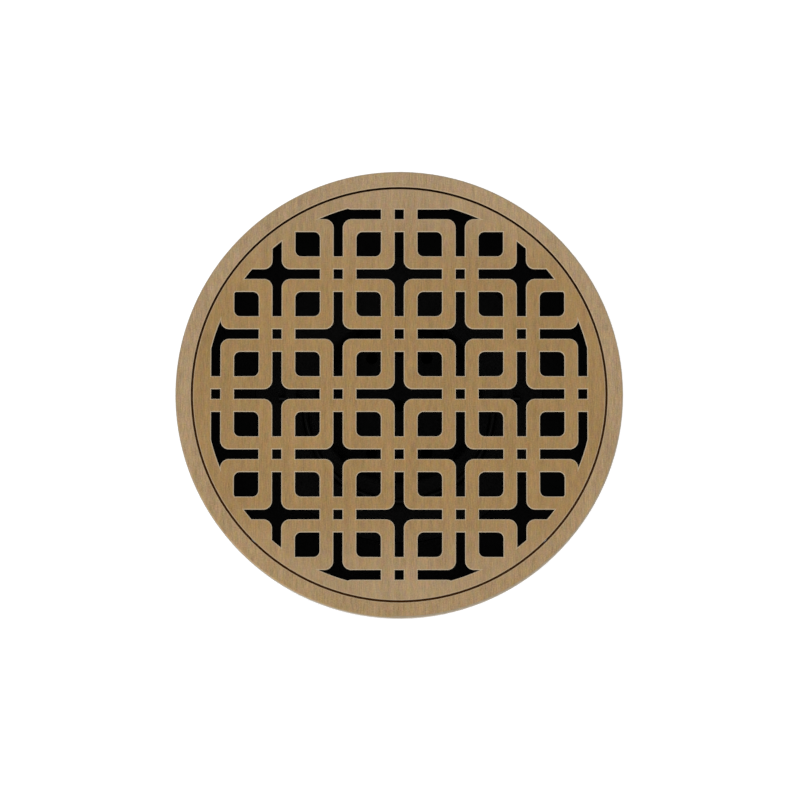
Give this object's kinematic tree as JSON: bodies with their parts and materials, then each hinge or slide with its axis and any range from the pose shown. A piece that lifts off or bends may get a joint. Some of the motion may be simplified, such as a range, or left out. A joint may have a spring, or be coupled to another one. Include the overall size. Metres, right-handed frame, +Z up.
{
  "type": "floor drain",
  "caption": "Round floor drain with a lift-out bronze grate of interlaced, nearly square links, frame ring, threaded clamping body, hair basket and compression pipe seal.",
  "frame": {"origin": "centre of the lower end of the drain barrel", "axes": "+Z up along the barrel towards the grate, +X and +Y along the two directions of the grate's bars"},
  "size_m": [0.127, 0.127, 0.07],
  "materials": {
    "grate_bronze": "satin brushed bronze",
    "ring_bronze": "satin brushed bronze",
    "pad_silicone": "matte translucent grey silicone",
    "screw_steel": "plain stainless steel",
    "seal_rubber": "matte black rubber",
    "body_plastic": "matte black moulded plastic",
    "basket_plastic": "satin black moulded plastic",
    "bail_steel": "drawn stainless wire, blackened",
    "nut_brass": "turned brass, unlacquered",
    "friction_steel": "stamped stainless steel",
    "washer_plastic": "matte pale plastic"
  },
  "bodies": {
    "housing": {"drain_body": "body_plastic", "frame_ring": "ring_bronze", "frame_seal": "seal_rubber", "ring_screw_1": "screw_steel", "ring_screw_2": "screw_steel", "ring_screw_3": "screw_steel", "ring_screw_4": "screw_steel", "grate_pad_1": "pad_silicone", "grate_pad_2": "pad_silicone", "grate_pad_3": "pad_silicone", "grate_pad_4": "pad_silicone", "pipe_gasket": "seal_rubber"},
    "grate": {"grate_plate": "grate_bronze"},
    "basket": {"basket_cup": "basket_plastic", "basket_seal": "seal_rubber"},
    "bail": {"basket_bail": "bail_steel"},
    "clamp_stack": {"deck_gasket": "seal_rubber", "slip_washer": "washer_plastic"},
    "nut": {"lock_nut": "body_plastic"},
    "friction_stack": {"friction_ring": "friction_steel"},
    "compression": {"compression_nut": "nut_brass"}
  },
  "joints": [
    {"name": "grate_lift", "type": "slide", "parent": "housing", "child": "grate", "axis": [0, 0, 1], "range_m": [0, 0.11]},
    {"name": "basket_lift", "type": "slide", "parent": "housing", "child": "basket", "axis": [0, 0, 1], "range_m": [0, 0.055]},
    {"name": "bail_turn", "type": "hinge", "parent": "basket", "child": "bail", "pos_m": [0, 0, 0.0522], "axis": [-1, 0, 0], "range_deg": [0, 90]},
    {"name": "stack_slide", "type": "slide", "parent": "housing", "child": "clamp_stack", "axis": [0, 0, 1], "range_m": [-0.016, 0.008]},
    {"name": "nut_turn", "type": "hinge", "parent": "clamp_stack", "child": "nut", "pos_m": [0, 0, 0.0235], "axis": [0, 0, 1], "range_deg": [-1800, 900]},
    {"name": "friction_ring_slide", "type": "slide", "parent": "housing", "child": "friction_stack", "axis": [0, 0, 1], "range_m": [0, 0.006]},
    {"name": "compression_nut_turn", "type": "hinge", "parent": "friction_stack", "child": "compression", "pos_m": [0, 0, 0.0317], "axis": [0, 0, 1], "range_deg": [0, 900]}
  ],
  "couplings": [
    {"joint": "basket_lift", "follows": "grate_lift", "ratio": 0.5},
    {"joint": "bail_turn", "follows": "grate_lift", "rad_per_m": 14.28},
    {"joint": "stack_slide", "follows": "nut_turn", "m_per_rad": 0.0005093},
    {"joint": "friction_ring_slide", "follows": "compression_nut_turn", "m_per_rad": 0.00038197}
  ]
}
